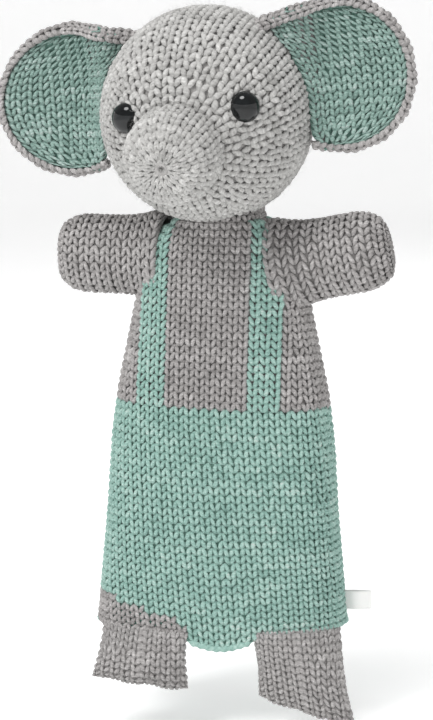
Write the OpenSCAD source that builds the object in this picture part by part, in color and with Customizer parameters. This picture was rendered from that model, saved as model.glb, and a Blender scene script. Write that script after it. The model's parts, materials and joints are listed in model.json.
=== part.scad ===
// Knitted elephant glove puppet, in millimetres.
// It stands upright and faces -Y, with its own left side towards +X.
// The origin is the middle of the hand opening, in the plane of the hem.

/* [Body] */
// Height of the neck's centre above the hem
neck_height = 173; // [140:1:210]
// Width across the hem
hem_width = 106; // [88:1:128]
// Depth of the opening at the hem
hem_depth = 58; // [48:1:70]
// Height of the waist, where the trousers end
waist_height = 94; // [78:1:113]
// Width across the waist
waist_width = 92; // [76:1:111]
// Depth of the body at the waist
waist_depth = 48; // [40:1:58]
// Distance of the chest, just below the arms, under the shoulder joints
chest_drop = 23; // [18:1:28]
// Width across the chest
chest_width = 76; // [63:1:92]
// Depth of the body at the chest
chest_depth = 42; // [35:1:51]
// Width across the shoulders
shoulder_width = 68; // [56:1:82]
// Depth of the body at the shoulders
shoulder_depth = 38; // [31:1:46]
// Thickness of the knitted fabric
fabric = 2.6; // [1.8:0.1:3.2]

// Angle by which the soft bag twists from waist to hem, towards the puppet's left
hem_twist = 16; // [0:1:20]

/* [Arms] */
// Distance of the shoulder joints under the neck's centre
shoulder_drop = 16; // [13:0.5:20]
// Distance by which the shoulder joints lie outside the shoulders
shoulder_out = 3; // [2:0.5:5]
// Height of an arm's cross-section
arm_height = 32; // [26:0.5:39]
// Depth of an arm's cross-section
arm_depth = 23; // [19:0.5:28]
// Distance from a shoulder joint to the bend of the hand
sleeve_length = 19; // [15:0.5:26]
// Distance from the bend to the tip of the hand
hand_length = 18; // [15:0.5:26]
// Angle at which the left arm is held up
left_arm_lift = 12; // [0:1:20]

/* [Head] */
// Radius of the round head
head_radius = 43.5; // [36:0.5:53]
// Gap between the neck's centre and the underside of the round head
chin_gap = 1.5; // [1:0.5:5]
// Distance by which the head's centre lies in front of the neck
head_forward = 8; // [4:0.5:10]
// Distance by which the trunk stands out in front of the round head
trunk_length = 18.5; // [15:0.5:26]
// Radius of the trunk near its tip
trunk_radius = 18.5; // [15:0.5:23]
// Angle by which the trunk points down
trunk_droop = 17; // [8:1:22]
// Angle by which the trunk is turned to the puppet's right
trunk_turn = 6; // [0:1:10]
// Angle by which the head leans to the puppet's right
head_lean = 6; // [0:1:7]
// Angle by which the head is turned to the puppet's left
head_turn = 5; // [0:1:10]
// Radius of the finger's bore in the head
finger_radius = 10; // [8:0.5:12]
// Depth of the finger's bore
finger_depth = 45; // [35:1:55]
// Wall of the finger tube
tube_wall = 2.4; // [1.5:0.1:3]

/* [Eyes] */
// Diameter of an eye
eye_diameter = 12.6; // [9:0.1:15.2]
// Height of an eye's dome
eye_dome = 5.4; // [3:0.1:6]
// Angle from the middle of the face to each eye
eye_spread = 35; // [28:1:42]
// Angle of the eyes above the head's middle
eye_rise = 4; // [0:1:12]
// Diameter of an eye's stem
stem_diameter = 3; // [2:0.1:4]
// Length of an eye's stem behind the dome
stem_length = 12; // [9:0.5:14.5]

/* [Ears] */
// Distance by which an ear stands out beside the round head
ear_length = 44.5; // [37:0.5:54]
// Height of an ear from its lowest to its highest edge
ear_height = 60; // [50:1:72]
// Height of an ear's middle above the head's centre
ear_rise = 12; // [4:1:15]
// Width of the grey border around an ear's lining
ear_border = 4; // [2:0.5:7]

/* [Feet] */
// Distance from a side seam at the hem to the middle of the foot beside it
foot_inset = 21; // [17:0.5:26]
// Width of a foot at its top
foot_top_width = 36; // [30:0.5:44]
// Width of a foot at its toe
foot_toe_width = 40; // [32:0.5:48]
// Depth of a padded foot
foot_depth = 15; // [11:0.5:20]
// Length of the left foot below the hem
left_foot_length = 33; // [27:0.5:40]
// Length of the right foot below the hem
right_foot_length = 21; // [17:0.5:40]
// How much lower the left foot's outer corner hangs
left_foot_slant = 5.5; // [0:0.5:10]
// How much lower the right foot's outer corner hangs
right_foot_slant = -3; // [-4:0.5:8]

/* [Label] */
// Width of the folded side label
label_width = 12; // [8:0.5:16]
// Height of the side label
label_height = 8; // [6:0.5:12]
// Height of the label's middle above the hem
label_at = 10; // [8:0.5:30]

/* [Hidden] */

GREY = "#a5a1a0";
PALE_GREY = "#c4c2c0";
MINT = "#8fc1b2";
NIGHT = "#22262a";
WHITE = "#f2f1ee";
FILL = "#ece9e2";

// Squareness of the body's outline, where 2 is an ellipse
squareness = 2.5;
// Gap between two pieces of one body
gap = 0.3;
// Gap between pieces of two bodies
clear = 0.8;
// Half of the slot in which a side seam lies
seam_slot = 0.8;
seam_radius = 0.6;

// Places that follow from the sizes above
shoulder_height = neck_height - shoulder_drop;
shoulder_reach = shoulder_width / 2 + shoulder_out;
chest_height = shoulder_height - chest_drop;
head_rise = head_radius + chin_gap;
trunk_reach = head_radius + trunk_length;
ear_reach = head_radius + ear_length;
foot_reach = hem_width / 2 - foot_inset;

// The neck's three pieces turn inside this ball about the neck's centre
band_inner = finger_radius + tube_wall + 1;
band_outer = band_inner + 2;
band_height = 6;
tie_radius = 0.9;
tie_ring = band_outer + tie_radius + gap;
neck_ball = tie_ring + tie_radius + gap;

// The body's rim stays under the neck band's lowest corner as the neck tilts
rim_drop = band_height;
shoulder_slope = 6;
neck_rim_height = neck_height - rim_drop;
shoulder_line = neck_rim_height - shoulder_slope;

// The finger tube starts above the band, so that it clears the band as the head nods
tube_outer = finger_radius + tube_wall;
band_corner = sqrt(pow(band_outer, 2) + pow(band_height / 2, 2));
tube_start = sqrt(pow(band_corner + gap, 2) - pow(tube_outer, 2));

// Arm holes: circles about the shoulder joints, wider than the arm's rounded root
arm_hole = arm_height / 2 + 4;
sleeve_root = 10;

// The hand's root is round about the bend, and is cut off this far behind it
hand_root = arm_depth / 2;
hand_root_cut = 7;

// An eye's dome sits just proud of the fabric, with its stem free in the cover's hole and
// held by a washer in a pocket of the stuffing
eye_lift = 0.1;
stem_clearance = 0.2;
washer_grip = 0.05;
washer_thickness = 1.4;
washer_depth = 3;
washer_pocket = 4;

// Each ear's thickness, and the gap at its root that its sewing stitches bridge
ear_thickness = 2.4;
ear_root_gap = 2;

// The body's outline at the heights where it is set
widths = [
    [0, hem_width / 2], [waist_height, waist_width / 2], [chest_height, chest_width / 2],
    [shoulder_line, shoulder_width / 2], [neck_rim_height, neck_ball + clear]
];
depths = [
    [0, hem_depth / 2], [waist_height, waist_depth / 2], [chest_height, chest_depth / 2],
    [shoulder_line, shoulder_depth / 2], [neck_rim_height, neck_ball + clear]
];

function power(v, p) = sign(v) * pow(abs(v), p);

// Angle by which the body is turned about its middle at height z
function twist(z) = hem_twist * max(0, 1 - z / waist_height);

// The point (x, y) of the body's section at height z, turned with the bag's twist
function turned(x, y, z) = let (t = twist(z))
    [x * cos(t) - y * sin(t), x * sin(t) + y * cos(t), z];

// One point of the body's outline at height z and angle a, moved inwards by inset
function outline(z, a, inset) = turned(
    (lookup(z, widths) - inset) * power(cos(a), 2 / squareness),
    -(lookup(z, depths) - inset) * power(sin(a), 2 / squareness),
    z
);

// How far out the body reaches at height z before the arm hole cuts it
function hole_edge(z) = let (d = abs(z - shoulder_height))
    d < arm_hole ? shoulder_reach - sqrt(pow(arm_hole, 2) - pow(d, 2)) : shoulder_reach * 9;

// Angle at which a panel starts at height z: at the seam slot, or at the arm hole
function edge_angle(z, inset) = let (
    w = lookup(z, widths) - inset,
    d = lookup(z, depths) - inset,
    seam = asin(pow(seam_slot / d, squareness / 2)),
    hole = acos(pow(min(hole_edge(z), w) / w, squareness / 2))
) max(seam, hole);

function panel_row(z, inset, columns) = let (e = edge_angle(z, inset))
    [for (j = [0 : columns]) outline(z, e + (180 - 2 * e) * j / columns, inset)];

function panel_grid(z0, z1, inset, rows, columns) =
    [for (i = [0 : rows]) panel_row(z0 + (z1 - z0) * i / rows, inset, columns)];

// A wall between two grids of points: rows run along it, and columns run across it or
// around it. A tip closes its last row.
module wall(outer, inner, around = false, tip = false) {
    rows = len(outer);
    columns = len(outer[0]);
    last = rows - 1;
    count = rows * columns;
    steps = around ? columns : columns - 1;
    function at(i, j) = i * columns + j % columns;
    function quad(a, b, c, d) = [[a, b, c], [a, c, d]];
    skins = [
        for (i = [0 : last - 1], j = [0 : steps - 1])
            each concat(
                quad(at(i, j), at(i + 1, j), at(i + 1, j + 1), at(i, j + 1)),
                quad(count + at(i, j), count + at(i, j + 1),
                     count + at(i + 1, j + 1), count + at(i + 1, j)))
    ];
    start_rim = [
        for (j = [0 : steps - 1])
            each quad(at(0, j), at(0, j + 1), count + at(0, j + 1), count + at(0, j))
    ];
    end_rim = tip
        ? [[for (j = [columns - 1 : -1 : 0]) at(last, j)],
           [for (j = [0 : columns - 1]) count + at(last, j)]]
        : [for (j = [0 : steps - 1])
            each quad(at(last, j + 1), at(last, j), count + at(last, j),
                      count + at(last, j + 1))];
    sides = around ? [] : [
        for (i = [0 : last - 1])
            each concat(
                quad(at(i + 1, 0), at(i, 0), count + at(i, 0), count + at(i + 1, 0)),
                quad(at(i, steps), at(i + 1, steps), count + at(i + 1, steps),
                     count + at(i, steps)))
    ];
    points = concat([for (row = outer) each row], [for (row = inner) each row]);
    polyhedron(points, concat(skins, start_rim, end_rim, sides));
}

// A closed solid through rings of points, with flat ends
module loft(rings) {
    columns = len(rings[0]);
    last = len(rings) - 1;
    points = [for (ring = rings) each ring];
    sides = [
        for (i = [0 : last - 1], j = [0 : columns - 1])
            let (a = i * columns + j, b = i * columns + (j + 1) % columns)
                each [[a, a + columns, b + columns], [a, b + columns, b]]
    ];
    bottom = [for (j = [0 : columns - 1]) j];
    top = [for (j = [columns - 1 : -1 : 0]) last * columns + j];
    polyhedron(points, concat(sides, [bottom, top]));
}

// Front half of the body wall between two heights
module panel(z0, z1, rows) {
    columns = 18;
    wall(panel_grid(z0, z1, 0, rows, columns), panel_grid(z0, z1, fabric, rows, columns));
}

module front_trousers() {
    color(MINT)
        panel(0, waist_height, 10);
}

module back_trousers() {
    color(MINT)
        rotate([0, 0, 180]) panel(0, waist_height, 10);
}

module front_shirt() {
    color(GREY)
        panel(waist_height, neck_rim_height, 24);
}

module back_shirt() {
    color(GREY)
        mirror([0, 1, 0]) panel(waist_height, neck_rim_height, 24);
}

// Sewing yarn in the slot between the front and the back panel, from hem to arm hole. Its
// bends lie at the panels' own, at the waist
module side_seam() {
    bottom = 1;
    top = shoulder_height - arm_hole - 2;
    sides = 8;
    heights = [
        for (i = [0 : 5]) bottom + (waist_height - bottom) * i / 5,
        for (i = [1 : 3]) waist_height + (top - waist_height) * i / 3
    ];
    loft([
        for (z = heights)
            [for (j = [0 : sides - 1]) let (a = -360 * j / sides) turned(
                lookup(z, widths) - fabric / 2 + seam_radius * cos(a),
                seam_radius * sin(a),
                z
            )]
    ]);
}

module left_side_seam() {
    color(MINT)
        side_seam();
}

module right_side_seam() {
    color(MINT)
        rotate([0, 0, 180]) side_seam();
}

// Blank folded ribbon that stands out of the left side seam
module side_label() {
    ribbon = 0.5;
    start = lookup(label_at, widths) + gap;
    color(WHITE)
        rotate([0, 0, twist(label_at)])
            translate([start, 0, label_at - label_height / 2])
                linear_extrude(label_height)
                    difference() {
                        union() {
                            translate([0, -ribbon * 1.5])
                                square([label_width - ribbon * 1.5, ribbon * 3]);
                            translate([label_width - ribbon * 1.5, 0])
                                circle(ribbon * 1.5, $fn = 24);
                        }
                        translate([-1, -ribbon / 2])
                            square([label_width - ribbon, ribbon]);
                    }
}

// Short knitted tube that joins the body to the head
module neck_band() {
    color(GREY)
        translate([0, 0, neck_height - band_height / 2])
            difference() {
                cylinder(h = band_height, r = band_outer, $fn = 64);
                translate([0, 0, -1])
                    cylinder(h = band_height + 2, r = band_inner, $fn = 64);
            }
}

// Yarn that gathers the neck
module neck_tie_yarn() {
    color(GREY)
        translate([0, 0, neck_height])
            rotate_extrude($fn = 64)
                translate([tie_ring, 0])
                    circle(tie_radius, $fn = 24);
}

// Places pieces of the head, drawn about the head's centre
module at_head() {
    translate([0, 0, neck_height])
        rotate([0, -head_lean, head_turn])
            translate([0, -head_forward, head_rise])
                children();
}

// Turns a shape drawn along +Z so that it points along the trunk
module along_trunk() {
    rotate([90 + trunk_droop, 0, -trunk_turn])
        children();
}

// Turns a shape drawn along +Z so that it points out through an eye
module at_eye(side) {
    rotate([90 - eye_rise, 0, side * eye_spread])
        children();
}

// Rounding of the trunk's tip, and the angle over which the head runs into the trunk
trunk_nose = 13;
trunk_flare = 2;

// Half outline of the head and trunk about the trunk's axis, moved inwards by inset.
// The round head runs into the trunk through a hollow arc.
function head_outline(inset) = let (
    r = head_radius - inset,
    t = trunk_radius - inset,
    tip = trunk_reach - inset,
    join = asin(trunk_radius / head_radius) + trunk_flare,
    steps = 28,
    ball = [for (i = [0 : steps]) let (a = 180 - (180 - join) * i / steps)
        [r * sin(a), r * cos(a)]],
    neck = tip - trunk_nose,
    end = [for (i = [0 : 12]) let (a = 90 * i / 12) [t * cos(a), neck + trunk_nose * sin(a)]],
    start = ball[steps],
    bend = [for (i = [1 : 5]) let (u = i / 6, corner = [t + 1.5, start[1] + 3])
        start * pow(1 - u, 2) + corner * 2 * u * (1 - u) + end[0] * pow(u, 2)]
) concat(ball, bend, end);

module head_form(inset) {
    along_trunk()
        rotate_extrude($fn = 96)
            polygon(head_outline(inset));
}

// Hole at the foot of the head, a ball about the neck's centre
module neck_hole() {
    translate([0, head_forward, -head_rise])
        sphere(neck_ball + clear, $fn = 96);
}

module eye_bore(side, radius) {
    at_eye(side)
        cylinder(h = head_radius + 9, r = radius, $fn = 32);
}

// Radius of the small hole that the trunk's first stitches are gathered around
gather_hole = 3;
gather_yarn = 0.8;

module head_cover() {
    color(PALE_GREY)
        at_head()
            difference() {
                head_form(0);
                head_form(fabric);
                neck_hole();
                eye_bore(1, stem_diameter / 2 + stem_clearance);
                eye_bore(-1, stem_diameter / 2 + stem_clearance);
                along_trunk()
                    translate([0, 0, trunk_reach - 2 * fabric])
                        cylinder(h = 3 * fabric, r = gather_hole, $fn = 48);
            }
}

module trunk_gathering_yarn() {
    color(PALE_GREY)
        at_head()
            along_trunk()
                translate([0, 0, trunk_reach - fabric / 2 - gather_yarn / 2])
                    rotate_extrude($fn = 48)
                        translate([gather_hole - gather_yarn - gap / 3, 0])
                            circle(gather_yarn, $fn = 24);
}

// Cylinder about the finger's axis, from the tube's foot to beyond the end of the bore
module finger_bore(radius, beyond) {
    translate([0, head_forward, tube_start - head_rise])
        cylinder(h = finger_depth + beyond, r = radius, $fn = 64);
}

module head_stuffing() {
    color(FILL)
        at_head()
            difference() {
                head_form(fabric + gap);
                neck_hole();
                translate([0, 0, -2 * gap])
                    finger_bore(tube_outer + gap, tube_wall + 3 * gap);
                for (side = [-1, 1]) {
                    at_eye(side)
                        translate([0, 0, head_radius - stem_length - 1])
                            cylinder(h = stem_length, r = stem_diameter / 2 + stem_clearance,
                                     $fn = 32);
                    at_eye(side)
                        translate([0, 0, head_radius - fabric - washer_pocket])
                            cylinder(h = washer_pocket, r = eye_diameter / 2 + gap, $fn = 48);
                }
            }
}

module finger_tube() {
    color(GREY)
        at_head()
            difference() {
                finger_bore(tube_outer, tube_wall);
                translate([0, 0, -1])
                    finger_bore(finger_radius, 1);
            }
}

// Black domed eye on a stem
module eye(side) {
    base = head_radius + eye_lift;
    dome_radius = (pow(eye_diameter / 2, 2) + pow(eye_dome, 2)) / (2 * eye_dome);
    color(NIGHT)
        at_head()
            at_eye(side)
                union() {
                    translate([0, 0, base])
                        intersection() {
                            translate([0, 0, eye_dome - dome_radius])
                                sphere(dome_radius, $fn = 64);
                            cylinder(h = eye_dome + 1, r = eye_diameter / 2, $fn = 64);
                        }
                    translate([0, 0, base - stem_length])
                        cylinder(h = stem_length + 1, r = stem_diameter / 2, $fn = 32);
                }
}

// Washer that holds an eye from inside
module washer(side) {
    color(WHITE)
        at_head()
            at_eye(side)
                translate([0, 0, head_radius - fabric - washer_depth])
                    difference() {
                        cylinder(h = washer_thickness, r = eye_diameter / 2 - gap, $fn = 48);
                        translate([0, 0, -1])
                            cylinder(h = washer_thickness + 2,
                                     r = stem_diameter / 2 + washer_grip, $fn = 32);
                    }
}

module left_eye() {
    eye(1);
}

module right_eye() {
    eye(-1);
}

module left_eye_washer() {
    washer(1);
}

module right_eye_washer() {
    washer(-1);
}

// Flat ear, with its outline moved inwards by inset, from y = front backwards
module ear_plate(side, inset, front) {
    lobe = ear_height / 2;
    root = ear_height / 5;
    at_head()
        mirror([side < 0 ? 1 : 0, 0, 0])
            translate([0, front + ear_thickness, 0])
                rotate([90, 0, 0])
                    linear_extrude(ear_thickness)
                        difference() {
                            hull() {
                                translate([ear_reach - lobe, ear_rise])
                                    circle(lobe - inset, $fn = 40);
                                translate([head_radius - 0.6 * root, ear_rise + lobe - 1.3 * root])
                                    circle(root - inset, $fn = 32);
                                translate([head_radius, ear_rise - lobe / 2])
                                    circle(root - inset, $fn = 32);
                            }
                            circle(head_radius + ear_root_gap + inset / 2, $fn = 96);
                        }
}

module ear_back(side) {
    color(GREY)
        ear_plate(side, 0, gap / 2);
}

module ear_lining(side) {
    color(MINT)
        ear_plate(side, ear_border, -gap / 2 - ear_thickness);
}

module left_ear_back() {
    ear_back(1);
}

module right_ear_back() {
    ear_back(-1);
}

module left_ear_lining() {
    ear_lining(1);
}

module right_ear_lining() {
    ear_lining(-1);
}

arm_columns = 20;

// One ring point of an arm: half depth d, half height h, at distance x
function arm_point(x, d, h, j) = let (a = -360 * j / arm_columns) [x, d * cos(a), h * sin(a)];

// Half height of the sleeve, which is rounded about the shoulder joint
function sleeve_half(x) = x < 0 ? sqrt(pow(arm_height / 2, 2) - pow(x, 2)) : arm_height / 2;

// End of the sleeve, hollowed to clear the hand's rounded root
function sleeve_end(d, j) = let (y = d * cos(-360 * j / arm_columns))
    sleeve_length - sqrt(pow(hand_root + clear, 2) - pow(y, 2));

function sleeve_grid(inset) = let (rows = 6, d = arm_depth / 2 - inset)
    [for (i = [0 : rows]) [for (j = [0 : arm_columns - 1])
        let (x = -sleeve_root + (sleeve_end(d, j) + sleeve_root) * i / rows)
            arm_point(x, d, sleeve_half(x) - inset, j)]];

// Share of the full section left at distance x, for the hand's round tip
function tip_share(x, length, round) = let (u = (x - length + round) / round)
    u <= 0 ? 1 : sqrt(max(0.0004, 1 - pow(u, 2)));

function hand_grid(inset) = let (
    round = 13,
    rows = 14,
    length = hand_length - inset,
    d = arm_depth / 2,
    h = arm_height / 2 - inset
) [for (i = [0 : rows]) let (
        x = -hand_root_cut + (length + hand_root_cut) * sin(90 * i / rows),
        root = x < 0 ? sqrt(pow(hand_root, 2) - pow(x, 2)) : d,
        share = tip_share(x, length, round)
    ) [for (j = [0 : arm_columns - 1]) arm_point(x, (root - inset) * share, h * share, j)]];

// Places a left arm piece, drawn along +X from its shoulder joint
module at_shoulder(lift) {
    translate([shoulder_reach, 0, shoulder_height])
        rotate([0, -lift, 0])
            children();
}

module sleeve() {
    wall(sleeve_grid(0), sleeve_grid(fabric), around = true);
}

module hand() {
    translate([sleeve_length, 0, 0])
        wall(hand_grid(0), hand_grid(fabric), around = true, tip = true);
}

module left_sleeve() {
    color(GREY)
        at_shoulder(left_arm_lift) sleeve();
}

module right_sleeve() {
    color(GREY)
        mirror([1, 0, 0]) at_shoulder(0) sleeve();
}

module left_hand() {
    color(GREY)
        at_shoulder(left_arm_lift) hand();
}

module right_hand() {
    color(GREY)
        mirror([1, 0, 0]) at_shoulder(0) hand();
}

// Middle of a foot's top edge, in line with the front panel
foot_y = -hem_depth / 2 + fabric;
foot_drop = 1.5;

// Least half depth along a foot's seams, and the share of its flare that goes outwards
foot_seam = 0.35;
foot_lean = 0.8;

// One ring of a foot at share t of its length, moved inwards by inset. The foot is thin
// along its top edge and along the seam at its toe.
function foot_ring(t, length, slant, inset) = let (
    columns = 24,
    flare = (foot_toe_width - foot_top_width) / 2 * t,
    half = foot_top_width / 2 + flare - inset,
    plump = foot_depth / 2 * sqrt(max(0.02, 1 - pow(abs(2 * t - 1), 3))) - inset
) [for (j = [0 : columns - 1]) let (
        a = 360 * j / columns,
        x = half * power(cos(a), 0.7),
        y = max(foot_seam, plump) * power(sin(a), 0.9)
    ) [x + foot_lean * flare, y, -foot_drop - t * (length - foot_drop + slant * x / half)]];

// Rings of a padded foot of the left side, from its top edge to its toe
function foot_rings(length, slant, inset) = let (first = inset / length, steps = 12)
    [for (i = [0 : steps])
        foot_ring(first + (1 - 2 * first) * (1 - cos(180 * i / steps)) / 2,
                  length, slant, inset)];

// Places a foot, drawn for the left side, under the front of the hem
module at_foot(side) {
    rotate([0, 0, hem_twist])
        mirror([side < 0 ? 1 : 0, 0, 0])
            translate([foot_reach, foot_y, 0])
                children();
}

module foot_cover(length, slant) {
    color(GREY)
        wall(foot_rings(length, slant, 0), foot_rings(length, slant, fabric),
             around = true, tip = true);
}

module foot_stuffing(length, slant) {
    color(FILL)
        loft(foot_rings(length, slant, fabric + gap));
}

module left_foot_cover() {
    at_foot(1) foot_cover(left_foot_length, left_foot_slant);
}

module right_foot_cover() {
    at_foot(-1) foot_cover(right_foot_length, right_foot_slant);
}

module left_foot_stuffing() {
    at_foot(1) foot_stuffing(left_foot_length, left_foot_slant);
}

module right_foot_stuffing() {
    at_foot(-1) foot_stuffing(right_foot_length, right_foot_slant);
}

front_trousers();
back_trousers();
front_shirt();
back_shirt();
left_side_seam();
right_side_seam();
side_label();
neck_band();
neck_tie_yarn();
head_cover();
trunk_gathering_yarn();
head_stuffing();
finger_tube();
left_eye();
right_eye();
left_eye_washer();
right_eye_washer();
left_ear_back();
left_ear_lining();
right_ear_back();
right_ear_lining();
left_sleeve();
right_sleeve();
left_hand();
right_hand();
left_foot_cover();
right_foot_cover();
left_foot_stuffing();
right_foot_stuffing();
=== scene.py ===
"""Knitted elephant glove puppet. Every stitch is a pair of yarn legs laid on a fabric skin."""
import json
import math

import bpy
import numpy as np
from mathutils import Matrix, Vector


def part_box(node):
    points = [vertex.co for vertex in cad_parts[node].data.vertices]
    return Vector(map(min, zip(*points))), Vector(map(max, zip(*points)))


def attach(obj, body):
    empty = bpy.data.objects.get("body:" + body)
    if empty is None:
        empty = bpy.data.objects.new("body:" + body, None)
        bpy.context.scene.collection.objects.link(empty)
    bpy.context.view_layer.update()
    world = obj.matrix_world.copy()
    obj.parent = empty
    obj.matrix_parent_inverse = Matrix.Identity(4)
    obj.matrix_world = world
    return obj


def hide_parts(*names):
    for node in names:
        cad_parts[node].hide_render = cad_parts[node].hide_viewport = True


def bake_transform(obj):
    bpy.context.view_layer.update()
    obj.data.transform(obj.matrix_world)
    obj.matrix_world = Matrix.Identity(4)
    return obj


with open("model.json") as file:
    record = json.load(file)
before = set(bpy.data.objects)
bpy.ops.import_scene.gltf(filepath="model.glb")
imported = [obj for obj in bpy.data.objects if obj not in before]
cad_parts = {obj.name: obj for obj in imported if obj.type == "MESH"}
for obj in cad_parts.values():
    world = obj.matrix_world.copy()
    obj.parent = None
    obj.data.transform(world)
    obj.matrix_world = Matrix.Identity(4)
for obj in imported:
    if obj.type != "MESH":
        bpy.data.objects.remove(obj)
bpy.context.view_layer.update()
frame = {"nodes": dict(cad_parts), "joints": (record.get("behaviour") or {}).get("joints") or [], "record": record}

MM = 0.001
rng = np.random.default_rng(22)

SIDE_NAMES = {1: "left", -1: "right"}

# The two halves of a bag: name, whether it is the front, and the way it looks out
HALVES = (("front", True, (0, -1, 0)), ("back", False, (0, 1, 0)))

# Yarn and knitting gauge, in metres
WALE = 4.6 * MM
ROW = 3.35 * MM
YARN = 0.99 * MM
SKIN_DEPTH = 0.75 * MM
SKIN_WALL = 1.6 * MM

# ---------------------------------------------------------------- places from the frame

JOINT = {j["name"]: np.array(j["pos_m"]) for j in frame["joints"]}
MOUNT = {m["name"]: m for m in frame["record"]["mounts"]}


def box(node):
    """Lowest and highest corner of a CAD node, as arrays."""
    low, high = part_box(node)
    return np.array(low), np.array(high)


def unit(v):
    """v at length one."""
    v = np.asarray(v, float)
    return v / np.linalg.norm(v, axis=-1, keepdims=True)


HEM_HALF = 53 * MM
HEM_DEPTH = 29 * MM
HEM_AXIS = unit({j["name"]: j["axis"] for j in frame["joints"]}["left_foot_swing"])
HEM_TWIST = math.atan2(HEM_AXIS[1], HEM_AXIS[0])
WAIST_Z = box("front_trousers")[1][2]
WAIST_HALF = box("front_shirt")[1][0]
WAIST_DEPTH = -box("front_shirt")[0][1]
NECK = JOINT["neck_tilt"]

# The head's own axes: its left, its back and its top, and its centre
EAR_RISE = 12 * MM
HEAD_X = unit(JOINT["left_ear_flap"] - JOINT["right_ear_flap"])
HEAD_Z = -unit(MOUNT["finger_bore"]["axis"])
HEAD_Y = np.cross(HEAD_Z, HEAD_X)
HEAD = (JOINT["left_ear_flap"] + JOINT["right_ear_flap"]) / 2 - EAR_RISE * HEAD_Z
HEAD_R = 43.5 * MM
TRUNK_TIP = np.mean(box("trunk_gathering_yarn"), axis=0) - HEAD
TRUNK_REACH = np.linalg.norm(TRUNK_TIP) + 1.7 * MM
TRUNK_R = 18.5 * MM


def head_to_row(p):
    """Points in the head's own axes, about its centre, moved into the row frame."""
    return HEAD + p[..., :1] * HEAD_X + p[..., 1:2] * HEAD_Y + p[..., 2:3] * HEAD_Z


# ---------------------------------------------------------------- materials

def linear(hex_colour):
    """A linear RGBA from a six-digit sRGB colour."""
    c = np.array([int(hex_colour[i:i + 2], 16) for i in (0, 2, 4)]) / 255
    return (*np.where(c < 0.04045, c / 12.92, ((c + 0.055) / 1.055) ** 2.4), 1.0)


class Nodes:
    """A material's node tree. An input is given a value or, as a socket, a link."""

    def __init__(self, name):
        self.material = bpy.data.materials.new(name)
        self.material.use_nodes = True
        self.tree = self.material.node_tree
        self.shader = self.tree.nodes["Principled BSDF"]

    def put(self, node, inputs):
        for key, value in inputs.items():
            if isinstance(value, bpy.types.NodeSocket):
                self.tree.links.new(value, node.inputs[key])
            else:
                node.inputs[key].default_value = value

    def add(self, kind, inputs=None, out=0, **settings):
        """Adds a node and returns one of its outputs."""
        node = self.tree.nodes.new("ShaderNode" + kind)
        for key, value in settings.items():
            setattr(node, key, value)
        self.put(node, inputs or {})
        return node.outputs[out]

    def math(self, operation, *values, **settings):
        return self.add("Math", dict(enumerate(values)), operation=operation, **settings)

    def noise(self, scale, detail, **inputs):
        """Noise that stays with the object as it moves."""
        where = self.add("TexCoord", out="Object")
        return self.add("TexNoise", {"Vector": where, "Scale": scale, "Detail": detail, **inputs},
                        "Fac")

    def ramp(self, fac, stops):
        """The colour of a ramp of (place, sRGB) stops, read at fac."""
        colour = self.add("ValToRGB", {"Fac": fac}, "Color")
        elements = colour.node.color_ramp.elements
        while len(elements) < len(stops):
            elements.new(0.5)
        for element, (place, hex_colour) in zip(elements, stops):
            element.position = place
            element.color = linear(hex_colour)
        return colour

    def finish(self, colour, height=None, strength=0.0, distance=0.0, **values):
        """Gives the shader its colour, a bump by height and its other values."""
        values["Base Color"] = colour
        if height is not None:
            values["Normal"] = self.add("Bump", {"Strength": strength, "Distance": distance,
                                                 "Height": height}, "Normal")
        self.put(self.shader, {key.replace("_", " "): value for key, value in values.items()})
        return self.material


def yarn_material(name, stops, twist=4.0, contrast=0.65):
    """Plied yarn. Its colour runs through stops with the stitch's own tone and a fine fleck, and
    its two plies are a slanted wave across the leg's UV, as grooves and as darker lines of painted shade."""
    n = Nodes(name)
    tone = n.add("Attribute", out="Fac", attribute_name="tone")
    fleck = n.add("MapRange", {"Value": n.noise(620.0, 3.0, Roughness=0.75), "From Min": 0.3,
                               "From Max": 0.7, "To Min": -contrast / 2, "To Max": contrast / 2})
    along = n.add("SeparateXYZ", {"Vector": n.add("UVMap", uv_map="yarn")}, "X")
    around = along.node.outputs["Y"]
    turn = n.math("MULTIPLY_ADD", around, 2.0, n.math("MULTIPLY", along, twist))
    ply = n.math("COSINE", n.math("MULTIPLY", turn, 2 * math.pi))
    # Painted shade: the colour darkens along the grooves between the plies.
    shade = n.add("MapRange", {"Value": ply, "From Min": -1.0, "From Max": 0.2, "To Min": -0.16,
                               "To Max": 0.04})
    mixed = n.math("ADD", n.math("ADD", tone, fleck), shade, use_clamp=True)
    height = n.math("MULTIPLY_ADD", n.noise(3200.0, 2.0), 0.5, ply)
    return n.finish(n.ramp(mixed, stops), height, 0.55, 0.00018, Roughness=0.88,
                    Sheen_Weight=0.12, Sheen_Roughness=0.5, Sheen_Tint=(0.95, 0.97, 0.96, 1),
                    Specular_IOR_Level=0.25)


def shaded_skin_material(name, dark, light):
    """The fabric under the stitches: a mottled weave of loops, in the yarn's colours darkened as
    painted shade in the gaps between stitches, and darker in its bump's hollows, also painted shade.
    """
    n = Nodes(name)
    loops = n.noise(420.0, 4.0, Roughness=0.6)
    return n.finish(n.ramp(loops, [(0.35, dark), (0.65, light)]), loops, 0.8, 0.0006,
                    Roughness=0.95, Sheen_Weight=0.2)


def plastic_material(name, colour, roughness):
    """Moulded plastic with faint clouding."""
    n = Nodes(name)
    share = n.add("MapRange", {"Value": n.noise(260.0, 2.0), "From Min": 0.45, "From Max": 0.8,
                               "To Max": 0.08})
    tint = n.add("MixRGB", {"Fac": share, "Color1": linear(colour), "Color2": linear("4a5458")})
    return n.finish(tint, Roughness=roughness)


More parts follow.
